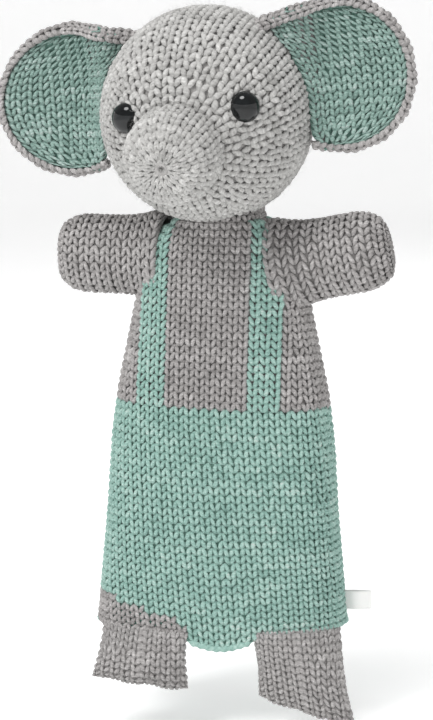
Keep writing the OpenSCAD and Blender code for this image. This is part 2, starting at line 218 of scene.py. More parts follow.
def ribbon_material():
    """White satin ribbon: fine cross ribs with a soft shine, their colour darker in the grooves as painted shade.
    """
    n = Nodes("white_satin")
    ribs = n.add("TexWave", {"Vector": n.add("TexCoord", out="Object"), "Scale": 700.0,
                             "Distortion": 0.4}, "Fac", bands_direction="Z")
    # Painted shade: the colour follows the ribs' height, darker in their grooves.
    return n.finish(n.ramp(ribs, [(0.0, "dcdcda"), (1.0, "f8f8f6")]), ribs, 0.3, 0.0001,
                    Roughness=0.4, Sheen_Weight=0.3)


GREY_STOPS = [(0.0, "848180"), (0.35, "999695"), (0.6, "a6a3a2"), (0.85, "b6b3b2"),
              (1.0, "c3c0bf")]
PALE_STOPS = [(0.0, "979694"), (0.3, "aaa9a7"), (0.55, "b4b3b1"), (0.85, "c2c1bf"),
              (1.0, "cfcecc")]
MINT_STOPS = [(0.0, "789990"), (0.35, "8eafa6"), (0.6, "9ab9b0"), (0.85, "abc4bc"),
              (1.0, "bac7c1")]
LINING_STOPS = [(0.0, "6d857e"), (0.35, "839d95"), (0.6, "91aaa2"), (0.85, "a6b8b3"),
                (1.0, "b8c2be")]

YARNS = {
    "grey": yarn_material("grey_yarn", GREY_STOPS),
    "pale": yarn_material("pale_yarn", PALE_STOPS),
    "mint": yarn_material("mint_yarn", MINT_STOPS),
    "lining": yarn_material("lining_yarn", LINING_STOPS),
}
# Painted shade: the skins are the yarns' colours darkened to stand for the shade in the gaps between stitches. The
# foot pads, side seams, finger tube and trunk's gathering yarn take them too.
SHADED_SKINS = {
    "grey": shaded_skin_material("grey_skin", "767372", "959291"),
    "pale": shaded_skin_material("pale_skin", "939190", "aeacaa"),
    "mint": shaded_skin_material("mint_skin", "658a7f", "87ab9f"),
    "lining": shaded_skin_material("lining_skin", "507066", "73958a"),
}


# ---------------------------------------------------------------- meshes

def make_mesh(name, points, faces, material, uv=None, tone=None, smooth=True):
    """One object from an array of points and a list of face arrays, each (count, corners). uv is
    one pair for each face corner in the same order, and tone one number for each point."""
    mesh = bpy.data.meshes.new(name)
    corners = np.concatenate([f.ravel() for f in faces]).astype(np.int32)
    sizes = np.concatenate([np.full(len(f), f.shape[1]) for f in faces])
    starts = np.concatenate([[0], np.cumsum(sizes)[:-1]]).astype(np.int32)
    mesh.vertices.add(len(points))
    mesh.vertices.foreach_set("co", np.asarray(points, np.float32).ravel())
    mesh.loops.add(len(corners))
    mesh.loops.foreach_set("vertex_index", corners)
    mesh.polygons.add(len(sizes))
    mesh.polygons.foreach_set("loop_start", starts)
    mesh.polygons.foreach_set("use_smooth", np.full(len(sizes), smooth))
    mesh.update(calc_edges=True)
    if uv is not None:
        layer = mesh.uv_layers.new(name="yarn")
        layer.data.foreach_set("uv", np.asarray(uv, np.float32).ravel())
    if tone is not None:
        field = mesh.attributes.new("tone", "FLOAT", "POINT")
        field.data.foreach_set("value", np.asarray(tone, np.float32))
    mesh.materials.append(material)
    obj = bpy.data.objects.new(name, mesh)
    bpy.context.scene.collection.objects.link(obj)
    return obj


def cells(rows, columns, around=False, flip=False):
    """Four-cornered faces of a grid of points stored row by row."""
    i, j = np.meshgrid(np.arange(rows - 1), np.arange(columns if around else columns - 1),
                       indexing="ij")
    k = (j + 1) % columns
    quads = np.stack([i * columns + j, i * columns + k, (i + 1) * columns + k,
                      (i + 1) * columns + j], -1).reshape(-1, 4)
    return quads[:, ::-1] if flip else quads


def fan(tip, ring, flip=False):
    """Triangles from one point to each edge of a closed ring of points."""
    after = np.roll(ring, -1)
    a, b = (after, ring) if flip else (ring, after)
    return np.stack([np.full(len(ring), tip), a, b], -1)


def measured(surface, u, v, step=1e-4):
    """Points of a surface with its two edge directions and its unit normal, from small steps."""
    p = surface(u, v)
    du = (surface(u + step, v) - surface(u - step, v)) / (2 * step)
    dv = (surface(u, v + step) - surface(u, v - step)) / (2 * step)
    normal = np.cross(du, dv)
    size = np.linalg.norm(normal, axis=-1, keepdims=True)
    return p, du, dv, normal / np.maximum(size, 1e-12)


def outward(surface, toward, at=(0.5, 0.5)):
    """1 where the surface's normal at one spot points the given way, or -1."""
    normal = measured(surface, np.array([at[0]]), np.array([at[1]]))[3][0]
    return 1 if normal @ np.asarray(toward) > 0 else -1


def rims(faces, count):
    """Faces that close a two-layer sheet: one for each edge that only one outer face has."""
    edges = np.concatenate([faces[:, [k, (k + 1) % 4]] for k in range(4)]).astype(np.int64)
    key = edges[:, 0] * 2 * count + edges[:, 1]
    back = edges[:, 1] * 2 * count + edges[:, 0]
    a, b = edges[~np.isin(key, back)].T
    return np.stack([b, a, a + count, b + count], -1)


def shell(name, surface, hand, material, lift=-SKIN_DEPTH, wall=SKIN_WALL, shape=(64, 64),
          around=False, keep=None, lumps=0.0):
    """A closed thin sheet of fabric under the stitches: the surface sunk by lift, a second layer
    a wall's thickness behind it, and rims between the two. lumps is the height of a purl-like
    wave on the inner layer, and keep(points) says where there is fabric."""
    columns, rows = shape
    v, u = np.meshgrid(np.linspace(0, 1, rows), np.linspace(0, 1, columns, endpoint=not around),
                       indexing="ij")
    p, _, _, normal = measured(surface, u, v)
    wave = lumps * np.sin(v * rows * math.pi / 2) * np.cos(u * columns * math.pi / 2)
    out = p + hand * normal * lift
    back = p + hand * normal * (lift - wall - wave[..., None])
    count = rows * columns
    front = cells(rows, columns, around, flip=hand < 0)
    if keep is not None:
        front = front[keep(p.reshape(-1, 3))[front].all(axis=1)]
    behind = front[:, ::-1] + count
    points = np.concatenate([out.reshape(-1, 3), back.reshape(-1, 3)])
    used, faces = np.unique(np.concatenate([front, behind, rims(front, count)]),
                            return_inverse=True)
    return make_mesh(name, points[used], [faces.reshape(-1, 4)], material)


def pillow(name, front, back, material, shape=(40, 36), lift=-SKIN_DEPTH):
    """A closed padded form: at each v a ring runs over the front surface and returns over the
    back one, and the first and the last ring are closed at their middles."""
    columns, rows = shape
    v, u = np.meshgrid(np.linspace(0, 1, rows), np.linspace(0, 1, columns), indexing="ij")
    inner = slice(1, columns - 1)
    p, q = measured(front, u, v), measured(back, u, v)
    mid = (p[0] + q[0]) / 2
    ring = []
    for part in (p[0], q[0][:, ::-1][:, inner]):
        centre = mid if part.shape == mid.shape else mid[:, ::-1][:, inner]
        away = part - centre
        size = np.linalg.norm(away, axis=-1, keepdims=True)
        ring.append(part + lift * away / np.maximum(size, 1e-3))
    ring = np.concatenate(ring, axis=1)
    around = ring.shape[1]
    first, last = ring[0].mean(axis=0), ring[-1].mean(axis=0)
    points = np.concatenate([ring.reshape(-1, 3), [first, last]])
    quads = cells(rows, around, True)
    k = np.arange(around)
    total = rows * around
    caps = np.concatenate([fan(total, k, flip=True), fan(total + 1, k + total - around)])
    middle = points.mean(axis=0)
    spot = quads[len(quads) // 2]
    side = np.cross(points[spot[1]] - points[spot[0]], points[spot[3]] - points[spot[0]])
    if side @ (points[spot].mean(axis=0) - middle) < 0:
        quads, caps = quads[:, ::-1], caps[:, ::-1]
    return make_mesh(name, points, [quads, caps], material)


def tube(name, path, radius, material, sides=10, twist=0.0, ply=0.0, tone=0.5):
    """Yarn along a path: circles across it, with ply as the depth of two grooves that wind round
    it at twist turns a metre. Its ends taper to a point."""
    count = len(path)
    ahead = unit(np.gradient(path, axis=0))
    step = np.linalg.norm(np.diff(path, axis=0, append=path[-1:]), axis=1)
    run = np.concatenate([[0], np.cumsum(step)[:-1]])
    reference = np.where(np.abs(ahead[:, 2:]) < 0.9, [[0.0, 0.0, 1.0]], [[0.0, 1.0, 0.0]])
    one = unit(np.cross(ahead, reference))
    two = np.cross(ahead, one)
    a = np.arange(sides) * 2 * math.pi / sides
    taper = np.sin(np.clip(np.minimum(run, run[-1] - run) / (2 * radius) + 0.02, 0, 1)
                   * math.pi / 2)
    r = radius * taper[:, None] * (1 + ply * np.cos(2 * (a[None] - 2 * math.pi * twist
                                                        * run[:, None])))
    points = path[:, None] + r[..., None] * (np.cos(a)[None, :, None] * one[:, None]
                                             + np.sin(a)[None, :, None] * two[:, None])
    total = count * sides
    points = np.concatenate([points.reshape(-1, 3), path[:1], path[-1:]])
    k = np.arange(sides)
    caps = np.concatenate([fan(total, k, flip=True), fan(total + 1, total - sides + k)])
    faces = [cells(count, sides, True)[:, ::-1], caps[:, ::-1]]
    corners = np.concatenate([f.ravel() for f in faces])
    along = np.append(np.repeat(run, sides), [0, run[-1]]) / (10 * MM)
    turn = np.append(np.tile(a / (2 * math.pi), count), [0, 0])
    uv = np.stack([along[corners], turn[corners]], -1)
    return make_mesh(name, points, faces, material, uv=uv, tone=np.full(len(points), tone))


# ---------------------------------------------------------------- knitting

# Shape of one yarn leg: rings from its root to its head, and sides around it
RINGS = 6
SIDES = 6

# How far a leg leans out, as a share of a stitch's width, and climbs, in rows
LEAN = 0.43
CLIMB = 1.42


def leg_template():
    """Faces of one leg and their UVs: a tube of rings closed by a point at each end. The first
    point is its root, the last is its head."""
    ring = 1 + np.arange(RINGS * SIDES).reshape(RINGS, SIDES)
    after = np.roll(ring, -1, axis=1)
    quads = np.stack([ring[:-1], ring[1:], after[1:], after[:-1]], -1).reshape(-1, 4)
    tips = np.concatenate([fan(0, ring[0]), fan(RINGS * SIDES + 1, ring[-1], flip=True)])
    t, a = np.meshgrid((np.arange(RINGS) + 1) / (RINGS + 1), np.arange(SIDES) / SIDES,
                       indexing="ij")

    def corners(t, a, *steps):
        """A UV pair for each corner, set off from (t, a) by whole or half steps."""
        return np.stack([np.stack([t + dt / (RINGS + 1), a + da / SIDES], -1)
                         for dt, da in steps], -2)
    quad_uv = corners(t[:-1], a[:-1], (0, 0), (1, 0), (1, 1), (0, 1)).reshape(-1, 4, 2)
    tip_uv = np.concatenate([corners(0 * a[0], a[0], (0, 0.5), (1, 0), (1, 1)),
                             corners(0 * a[0] + 1, a[0], (0, 0.5), (-1, 1), (-1, 0))])
    return quads, tips, quad_uv, tip_uv


QUADS, TIPS, QUAD_UV, TIP_UV = leg_template()
LEG_POINTS = RINGS * SIDES + 2


def lay_rows(surface, wale=WALE, row=ROW, edges=True, counts=None, origin=None):
    """Places stitches over a surface whose v runs up the wales. Rows are equally far apart along
    the middle. In each row, stitches are set out from the middle at the gauge's width, the last
    three before an edge share what is left, and an edge wale follows each border. Where counts
    is given, it is the number of stitches round a closed row at v. origin(v) is the u at which
    the columns start, where that isn't the middle. Returns a dict of arrays."""
    grid_u, grid_v = np.linspace(0, 1, 241), np.linspace(0, 1, 401)
    middle = surface(np.full(401, 0.5), grid_v)
    climb = np.concatenate([[0], np.cumsum(np.linalg.norm(np.diff(middle, axis=0), axis=1))])
    rows = max(1, int(round(climb[-1] / row)))
    v = np.interp((np.arange(rows) + 0.5) / rows * climb[-1], climb, grid_v)
    dv = np.gradient(np.interp(np.arange(rows + 1) / rows * climb[-1], climb, grid_v))[:-1]
    found = {k: [] for k in ("u", "v", "dv", "width", "row", "col", "edge")}
    for i in range(rows):
        line = surface(grid_u, np.full(241, v[i]))
        run = np.concatenate([[0], np.cumsum(np.linalg.norm(np.diff(line, axis=0), axis=1))])
        if counts is not None:
            number = int(counts(v[i]))
            u = (np.arange(number) + 0.5) / number
            width = np.full(number, run[-1] / number)
            col = np.arange(number)
            edge = np.zeros(number)
        else:
            half = np.interp(0.5 if origin is None else origin(v[i]), grid_u, run)
            sides = []
            for sign, reach in ((1, run[-1] - half), (-1, half)):
                room = reach - (wale if edges else 0)
                number = max(1, int(round(room / wale)))
                plain = max(0, number - 3)
                share = (room - plain * wale) / (number - plain)
                widths = np.where(np.arange(number) < plain, wale, share)
                centre = np.cumsum(widths) - widths / 2
                if edges:
                    widths = np.append(widths, wale)
                    centre = np.append(centre, reach - wale / 2)
                tag = np.zeros(len(widths))
                tag[-1] = 1 if edges else 0
                sides.append((half + sign * centre, widths, sign * (np.arange(len(widths)) + 1),
                              tag))
            place, width, col, edge = (np.concatenate(x) for x in zip(*sides))
            u = np.interp(place, run, grid_u)
        found["u"].append(u)
        found["v"].append(np.full(len(u), v[i]))
        found["dv"].append(np.full(len(u), dv[i]))
        found["width"].append(width)
        found["row"].append(np.full(len(u), i))
        found["col"].append(col)
        found["edge"].append(edge)
    return {k: np.concatenate(x) for k, x in found.items()}


def yarn_tone(stitches, level=0.5, streak=0.07, speck=0.07):
    """Tone of each stitch: yarn runs along a row, so the colour drifts over a few stitches in a
    row and jumps from one row to the next, with a small change of its own in each stitch."""
    row, col = stitches["row"].astype(int), stitches["col"].astype(int)
    columns = col - col.min()
    drift = rng.normal(size=(row.max() + 1, columns.max() + 8))
    kernel = np.array([0.3, 0.7, 1.0, 0.7, 0.3])
    smooth = np.apply_along_axis(lambda x: np.convolve(x, kernel, "same"), 1, drift) / 1.47
    return level + streak * smooth[row, columns] + speck * rng.normal(size=len(row))


def knit(name, surface, hand, stitches, material, tone, yarn=YARN, keep=None, height=0.0,
         wild=1.0):
    """Builds both yarn legs of every stitch on a surface. A leg's middle line starts low near the
    wale's centre, arches up and outwards past the next row, and dives under it; its thickness
    swells and closes at both ends. hand is 1 where the surface's normal points out, or -1."""
    s = {k: x[keep] for k, x in stitches.items()} if keep is not None else stitches
    tone = tone[keep] if keep is not None else tone
    count = len(s["u"])
    _, du, dv, _ = measured(surface, s["u"], s["v"])
    across = np.linalg.norm(du, axis=-1)
    tall = np.linalg.norm(dv, axis=-1) * np.abs(s["dv"])
    t = np.concatenate([[0.0], np.repeat((np.arange(RINGS) + 0.5) / RINGS, SIDES), [1.0]])
    a = np.concatenate([[0.0], np.tile(np.arange(SIDES) * 2 * math.pi / SIDES, RINGS), [0.0]])
    swell = np.sin(math.pi * (0.05 + 0.9 * t)) ** 0.55
    swell[[0, -1]] = 0
    points, tones = [], []

    def shake(size):
        """A small random change for each stitch."""
        return rng.normal(size=(count, 1)) * size * wild
    for side in (1, -1):
        width = s["width"][:, None] * (1 + shake(0.03))
        tight = np.minimum(1, np.minimum(s["width"] / (3.9 * MM), tall / (2.7 * MM)))[:, None]
        thick = yarn * tight * (1 + shake(0.05)) * swell
        x = width * (0.045 + LEAN * t) + shake(0.02) * width
        y = tall[:, None] * (-0.5 + CLIMB * t + shake(0.03))
        slope = np.arctan2(width * LEAN, tall[:, None] * CLIMB)
        x = side * (x + thick * np.cos(a) * np.cos(slope))
        y = y - thick * np.cos(a) * np.sin(slope)
        arch = np.sin(math.pi * np.clip(t, 0, 1) ** 0.9) ** 0.8
        z = (height + tight * (-1.1 + 1.5 * arch) * MM + 0.85 * thick * np.sin(a)
             + shake(0.06) * MM)
        u = s["u"][:, None] + x / across[:, None]
        v = s["v"][:, None] + y / tall[:, None] * np.abs(s["dv"])[:, None]
        p, _, _, normal = measured(surface, u, v)
        points.append((p + hand * z[..., None] * normal).reshape(-1, 3))
        tones.append(np.repeat(tone + 0.05 * rng.normal(size=count), LEG_POINTS))
    faces, uvs = [], []
    start = (np.arange(count) * LEG_POINTS)[:, None, None]
    for part, part_uv in ((QUADS, QUAD_UV), (TIPS, TIP_UV)):
        for k, side in enumerate((1, -1)):
            turn = side * hand < 0
            shape, shape_uv = (part[:, ::-1], part_uv[:, ::-1]) if turn else (part, part_uv)
            faces.append((shape + start + k * count * LEG_POINTS).reshape(-1, part.shape[1]))
            uvs.append(np.tile(shape_uv.reshape(-1, 2), (count, 1)))
    return make_mesh(name, np.concatenate(points), faces, material, uv=np.concatenate(uvs),
                     tone=np.concatenate(tones))


def fuzz(name, surface, hand, material, count, keep, length=4.5 * MM):
    """Loose fibres that stand out of the yarn. Each is a three-sided strand of four rings, whose
    middle line leaves the surface at a slant and bends back along it."""
    u, v = rng.random(count), np.sqrt(rng.random(count)) * 0.97 + 0.02
    p, du, dv, normal = measured(surface, u, v)
    chosen = keep(p)
    p, du, dv, normal = (x[chosen] for x in (p, du, dv, normal))
    number = len(p)
    angle = rng.random(number)[:, None] * 2 * math.pi
    along = unit(np.cos(angle) * unit(du) + np.sin(angle) * unit(dv))
    reach = length * (0.5 + rng.random((number, 1)))
    t = np.linspace(0, 1, 4)[None, :, None]
    rise = reach * (0.25 + 0.3 * rng.random((number, 1)))
    middle = (p[:, None] + hand * normal[:, None] * (0.4 * MM + rise[:, None] * np.sin(t * 2.2))
              + along[:, None] * reach[:, None] * t * 0.8)
    side = np.cross(normal, along)
    a = np.arange(3)[None, None, :, None] * 2 * math.pi / 3
    thick = 0.045 * MM * (1 - 0.7 * t)[..., None]
    points = middle[:, :, None] + thick * (np.cos(a) * side[:, None, None]
                                           + np.sin(a) * normal[:, None, None])
    base = (np.arange(number) * 12)[:, None, None]
    quads = (cells(4, 3, True) + base).reshape(-1, 4)
    ends = (np.array([[0, 1, 2], [11, 10, 9]]) + base).reshape(-1, 3)
    return make_mesh(name, points.reshape(-1, 3), [quads, ends], material,
                     uv=np.zeros((quads.size + ends.size, 2)), tone=np.full(number * 12, 0.7))


def wear(piece, body):
    """The piece rides on a body."""
    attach(piece, body)


def bend(piece, colour, a, b, start, end):
    """Bakes the piece's place into its mesh. colour, a, b, start and end are not used."""
    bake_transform(piece)


# ---------------------------------------------------------------- body

def curve_through(z, knots):
    """A smooth curve through (z, value) knots: cubic pieces with the slope of their neighbours."""
    k = np.array(knots, float)
    slope = np.gradient(k[:, 1], k[:, 0])
    i = np.clip(np.searchsorted(k[:, 0], z) - 1, 0, len(k) - 2)
    step = k[i + 1, 0] - k[i, 0]
    t = np.clip((z - k[i, 0]) / step, -0.2, 1.2)
    return ((2 * t**3 - 3 * t**2 + 1) * k[i, 1] + (t**3 - 2 * t**2 + t) * step * slope[i]
            + (3 * t**2 - 2 * t**3) * k[i + 1, 1] + (t**3 - t**2) * step * slope[i + 1])


def spun(x, y, z, angle):
    """Points (x, y, z) turned about the Z axis."""
    c, s = np.cos(angle), np.sin(angle)
    return np.stack([x * c - y * s, x * s + y * c, z + 0 * x], -1)


def turned(x, y, z):
    """Points (x, y) of the body's section at height z, turned with the soft bag: by the hem's
    twist at the hem, and less and less up to the waist."""
    return spun(x, y, z, HEM_TWIST * np.clip(1 - z / WAIST_Z, -0.1, 1.1) * (z < WAIST_Z))


BODY_TOP = NECK[2] + 0.5 * MM
BODY_HALF = [(0, HEM_HALF), (0.5 * WAIST_Z, 0.5 * (HEM_HALF + WAIST_HALF) - 0.4 * MM),
             (WAIST_Z, WAIST_HALF), (134 * MM, 38 * MM), (152 * MM, 34.5 * MM),
             (163 * MM, 32 * MM), (168.5 * MM, 25.5 * MM), (BODY_TOP, 18.5 * MM)]
BODY_DEPTH = [(0, HEM_DEPTH), (0.5 * WAIST_Z, 0.5 * (HEM_DEPTH + WAIST_DEPTH)),
              (WAIST_Z, WAIST_DEPTH), (134 * MM, 21 * MM), (152 * MM, 19.5 * MM),
              (163 * MM, 18.5 * MM), (169 * MM, 17.5 * MM), (BODY_TOP, 16 * MM)]
SQUARENESS = 2.5


def body_surface(front):
    """Half of the bag. u goes round from the puppet's left seam to its right one, v from hem to
    neck. Each level is a rounded rectangle: |x/half|^n + |y/depth|^n = 1, in polar form. The
    front's hem sags between the feet."""
    def surface(u, v):
        angle = math.pi * u
        sag = -5.5 * MM * np.exp(-((u - 0.5) / 0.16) ** 2) if front else -1.5 * MM * np.sin(angle)
        z = v * BODY_TOP + sag * np.clip(1 - v * 3, 0, 1) ** 2
        half, depth = curve_through(z, BODY_HALF), curve_through(z, BODY_DEPTH)
        c, s = np.cos(angle), np.sin(angle)
        r = (np.abs(c / half) ** SQUARENESS + np.abs(s / depth) ** SQUARENESS) ** (-1 / SQUARENESS)
        y = -r * s if front else r * s
        return turned(r * c, y, z)
    return surface


# ---------------------------------------------------------------- arms

ARM_HALF = 16 * MM
ARM_DEPTH = 11.5 * MM
ARM_START = -13 * MM


class Arm:
    """One arm's own axes: out along the arm from its shoulder joint, up, and the body's Y."""

    def __init__(self, side):
        self.name = SIDE_NAMES[side]
        self.shoulder = JOINT[self.name + "_arm_lift"]
        self.bend = JOINT[self.name + "_hand_curl"]
        self.out = unit(self.bend - self.shoulder)
        self.up = np.array([-self.out[2] * side, 0, self.out[0] * side])
        self.reach = np.linalg.norm(self.bend - self.shoulder) + 18 * MM

    def surface(self, front):
        """Half of an arm, as a pillow. u runs out along the arm and v up from its lower seam to its
        upper one. Across, it is half an ellipse that thins to nothing at the round tip."""
        def surface(u, v):
            x = ARM_START + (self.reach - ARM_START) * u
            near = 14 * MM
            t = np.clip((x - self.reach + near) / near, 0, 0.9995)
            share = np.sqrt(1 - t ** 2)
            root = np.clip(1 - x / (10 * MM), 0, 2) ** 2
            half = ARM_HALF * (0.42 + 0.58 * share) + 0.9 * MM * root
            depth = ARM_DEPTH * share + 1.6 * MM * root
            angle = math.pi * (v - 0.5)
            y = -depth * np.cos(angle) if front else depth * np.cos(angle)
            up = half * np.sin(angle)
            return (self.shoulder + x[..., None] * self.out + up[..., None] * self.up
                    + y[..., None] * np.array([0, 1, 0]))
        return surface


# ---------------------------------------------------------------- head

def head_profile():
    """The head's outline about the trunk's axis, from the trunk's tip to the back: a ball and a
    round-ended tube, joined by a smooth maximum of their radii, with a dimple at the tip."""
    h = np.concatenate([
        TRUNK_REACH - (1 - np.cos(np.linspace(0, math.pi / 2, 160))) * 22 * MM,
        np.linspace(TRUNK_REACH - 22.1 * MM, -HEAD_R * 0.7, 300),
        -HEAD_R * np.sin(np.linspace(math.asin(0.701), math.pi / 2, 120)),
    ])
    ball = np.sqrt(np.maximum(HEAD_R ** 2 - h ** 2, 0))
    nose = 13 * MM
    end = np.clip((h - TRUNK_REACH + nose) / nose, 0, 1)
    tube = TRUNK_R * np.sqrt(1 - end ** 2)
    k = 4 * MM
    meet = np.maximum(k - np.abs(ball - tube), 0) / k
    blend = np.clip((h - 20 * MM) / (12 * MM), 0, 1) * np.clip((TRUNK_REACH - h) / (8 * MM), 0, 1)
    radius = np.maximum(ball, np.where(h > 20 * MM, tube, 0)) + meet ** 2 * k / 4 * blend
    axial = h - 2.2 * MM * np.exp(-(radius / (4 * MM)) ** 2) * (h > 0)
    run = np.concatenate([[0], np.cumsum(np.hypot(np.diff(radius), np.diff(axial)))])
    return radius, axial, run


PROFILE_R, PROFILE_H, PROFILE_RUN = head_profile()
_trunk = unit(TRUNK_TIP)
TRUNK_SIDE = unit(np.cross(HEAD_Z, _trunk))
TRUNK_UP = np.cross(_trunk, TRUNK_SIDE)


def head_surface(u, v):
    """The head and trunk as one surface turned about the trunk's axis: u goes round, v from the
    trunk's tip to the back of the head. The crown is a little taller than a ball."""
    place = np.clip(v, 0.0005, 0.9995) * PROFILE_RUN[-1]
    radius = np.interp(place, PROFILE_RUN, PROFILE_R)
    axial = np.interp(place, PROFILE_RUN, PROFILE_H)
    angle = 2 * math.pi * u
    p = (axial[..., None] * _trunk + (radius * np.sin(angle))[..., None] * TRUNK_SIDE
         + (radius * np.cos(angle))[..., None] * TRUNK_UP)
    rise = p @ HEAD_Z
    crown = 0.02 * np.clip(rise / HEAD_R, 0, 1) * np.clip((HEAD_R * 1.1 - axial) / HEAD_R, 0, 1)
    return HEAD + p + (rise * crown)[..., None] * HEAD_Z


def head_count(v):
    """Stitches round the head at v: a star at the tip, a steady trunk, then as many as fit the
    round at the gauge, in steps of six, out over the ball and in again to the gathered back."""
    place = v * PROFILE_RUN[-1]
    if place < 5 * MM:
        return 9
    if place < 9 * MM:
        return 18
    fit = 2 * math.pi * np.interp(place, PROFILE_RUN, PROFILE_R) / (5.5 * MM)
    if place < 30 * MM:
        return 24
    return max(6, 6 * int(round(fit / 6)))


# ---------------------------------------------------------------- ears

def power(x, p):
    """|x| to the power p, with x's sign."""
    return np.sign(x) * np.abs(x) ** p


EAR_LOW, EAR_HIGH = -19.5, 41.5
EAR_ROOT = [(-19, 57), (-17.5, 51), (-13, 46.2), (-6, 45), (4, 45), (14, 43), (24, 38.5),
            (33, 32), (37, 31.5), (40, 38), (42, 50), (43, 60)]


class Ear:
    """One ear in the head's own axes, mirrored for the right side. Lengths inside are in
    millimetres from the head's centre: x out to the side, z up and y back."""

    def __init__(self, side):
        self.side = side
        self.name = SIDE_NAMES[side]
        self.out = side * HEAD_X

    def depth(self, x, z):
        """How far back the ear's middle layer lies: forward where it is sewn to the head, back
        in its bowl, and forward again at its rim, with two soft creases from the root."""
        share = np.clip((x - 40) / 48, -0.1, 1.05)
        fold = -6.5 * np.exp(-(share / 0.16) ** 2)
        bowl = 5.0 * np.sin(math.pi * np.clip(share, 0, 1) ** 0.8)
        rim = -4.0 * np.clip(share, 0, 1.1) ** 3
        edge = -2.5 * ((z - 12) / 31) ** 4
        crease = 1.3 * np.sin((z - 12) / 7.5 + 2.2 * share) * np.clip(1 - share, 0, 1)
        return fold + bowl + rim + edge + crease

    def place(self, x, y, z):
        return head_to_row(np.stack([self.side * x, y, z], -1) * MM)

    def surface(self, front):
        """The ear's lining or its back. v runs from its lowest to its highest point, as
        middle - radius * cos(pi v), and u from its root to its round rim at each height."""
        offset, inset = (-1.3, 2.1) if front else (1.7, 1.6)

        def surface(u, v):
            z = (EAR_LOW + EAR_HIGH) / 2 - (30.5 - inset) * np.cos(math.pi * v)
            rim = 58 + (30.5 - inset) * np.sin(math.pi * v)
            root = curve_through(z + 1, EAR_ROOT)
            x = root + (rim - root) * u
            return self.place(x, self.depth(x, z) + offset, z)
        return surface

    def rim(self, u, v):
        """The round border: v runs along the outline from the lower corner of the root, round
        the rim and back to the top of the root; u goes over it from the front to the back."""
        run = v * 152.0
        angle = np.radians(-118) + np.clip(run, 0, 119) / 29.5
        bend = 119 / 29.5 + np.radians(-118)
        past = np.clip(run - 119, 0, None)
        x = 58 + 29.5 * np.cos(angle) - past * np.sin(bend)
        z = 11 + 29.5 * np.sin(angle) + past * np.cos(bend) * 0.6
        over = math.pi * (u - 0.5) * 1.15
        wide = np.clip((run - 70) / 70, 0, 1)
        wide = wide ** 2 * (3 - 2 * wide)
        swell = 1.9 + 2.6 * wide + 0.25 * np.sin(run / 2.1)
        reach = swell * np.cos(over) - 0.6
        y = self.depth(x, z) + 0.3 + (2.3 + 0.8 * wide) * np.sin(over)
        return self.place(x + reach * np.cos(angle), y, z + reach * np.sin(angle))


# ---------------------------------------------------------------- feet

# Each foot's length, the slant of its toe, and its drift outwards as a share of its flare
FOOT_SHAPE = {1: (33 * MM, 6.5 * MM, 2.3), -1: (21 * MM, -3 * MM, 0.8)}
FOOT_DEPTH = 7.5 * MM
FOOT_TOP = -2.2 * MM


class Foot:
    """One padded foot, as the CAD cover is shaped: a bag that is flat along its top and its toe,
    and wider at the toe."""

    def __init__(self, side):
        self.side = side
        self.name = SIDE_NAMES[side]
        self.middle = JOINT[self.name + "_foot_swing"]
        self.length, self.slant, self.drift = FOOT_SHAPE[side]

    def surface(self, front):
        """Half of the foot: u goes across, v up from the toe to the top edge, which lies behind
        the hem and bends with it. Across, it is x = half * cos(a)^0.8 and
        y = plump * sin(a)^0.85, moved back at the top to the hem's own curve."""
        back = np.array([-HEM_AXIS[1], HEM_AXIS[0], 0])
        flat = self.middle @ back
        centre = abs(self.middle @ HEM_AXIS)

        def surface(u, v):
            t = 1 - v
            flare = 2.2 * MM * t
            half = 18.3 * MM + flare - 1.5 * MM * np.sin(math.pi * np.clip(t, 0, 1))
            plump = FOOT_DEPTH * np.sqrt(np.clip(1 - np.abs(2 * t - 1) ** 3, 0.02, 1))
            a = math.pi * u
            x = half * power(np.cos(a), 0.8)
            y = plump * power(np.sin(a), 0.85)
            share = np.clip((centre + x) / HEM_HALF, -0.98, 0.98)
            hem = 1.5 * MM - HEM_DEPTH * (1 - np.abs(share) ** SQUARENESS) ** (1 / SQUARENESS)
            ease = np.clip(t / 0.6, 0, 1)
            bend = (hem - flat) * (1 - ease ** 2 * (3 - 2 * ease))
            lumps = 0.5 * MM * np.sin(x / (2.6 * MM)) * t ** 4
            z = -FOOT_TOP - t * (self.length - FOOT_TOP + self.slant * x / half + lumps)
            y = (-y if front else y) + bend
            across = self.side * (x + self.drift * flare)
            return (self.middle * [1, 1, 0] + across[..., None] * HEM_AXIS
                    + y[..., None] * back + z[..., None] * np.array([0, 0, 1]))
        return surface


# ---------------------------------------------------------------- camera and light

def look_at(position, target):
    """Rotation that points an object's -Z axis from position to target, with +Z up."""
    return (Vector(target) - Vector(position)).to_track_quat("-Z", "Y").to_euler()


def add_camera():
    """The view of the picture: where it stands about the object, and where it aims."""
    azimuth, elevation, distance = math.radians(19), math.radians(9), 1.063
    aim_height, aim_right, view_angle = 0.1134, -0.0027, math.radians(16.4)
    right = np.array([math.cos(azimuth), math.sin(azimuth), 0])
    target = np.array([0, 0, aim_height]) + aim_right * right
    away = np.array([math.sin(azimuth) * math.cos(elevation),
                     -math.cos(azimuth) * math.cos(elevation), math.sin(elevation)])
    data = bpy.data.cameras.new("camera")
    data.sensor_fit = "VERTICAL"
    data.angle = view_angle
    camera = bpy.data.objects.new("camera", data)
    camera.location = target + distance * away
    camera.rotation_euler = look_at(camera.location, target)
    bpy.context.scene.collection.objects.link(camera)
    bpy.context.scene.camera = camera


def add_light(name, position, size, power_w, glossy=True):
    """A round soft light of the given width that points at the middle of the puppet."""
    data = bpy.data.lights.new(name, "AREA")
    data.shape = "DISK"
    data.size = size
    data.energy = power_w
    light = bpy.data.objects.new(name, data)
    light.location = position
    light.rotation_euler = look_at(position, (0, 0, 0.12))
    light.visible_glossy = glossy
    bpy.context.scene.collection.objects.link(light)


